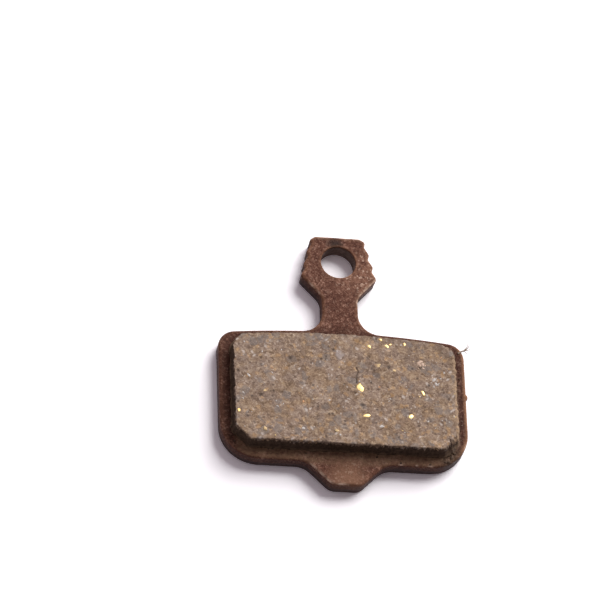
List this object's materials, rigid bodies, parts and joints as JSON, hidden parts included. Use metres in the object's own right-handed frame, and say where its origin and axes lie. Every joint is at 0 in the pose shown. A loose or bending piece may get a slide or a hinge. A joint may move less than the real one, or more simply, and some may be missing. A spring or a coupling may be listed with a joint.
{
  "type": "bicycle disc brake pad",
  "caption": "Bicycle disc brake pad: blanked steel backing plate with a toothed ear, pin hole and release tab, and a moulded block of friction compound bonded to its front.",
  "frame": {"origin": "on the axis of the pin hole, at the plate's back face", "axes": "+Z out through the friction face, +Y from the body towards the ear, +X across the pad; it lies flat on its back"},
  "size_m": [0.0296, 0.0332, 0.0038],
  "materials": {
    "plate_finish": "thin satin brown finish on blanked sheet steel",
    "friction_compound": "moulded grey-brown friction compound with brass and copper chips"
  },
  "bodies": {
    "root": {"backing_plate": "plate_finish", "friction_block": "friction_compound"}
  },
  "joints": []
}
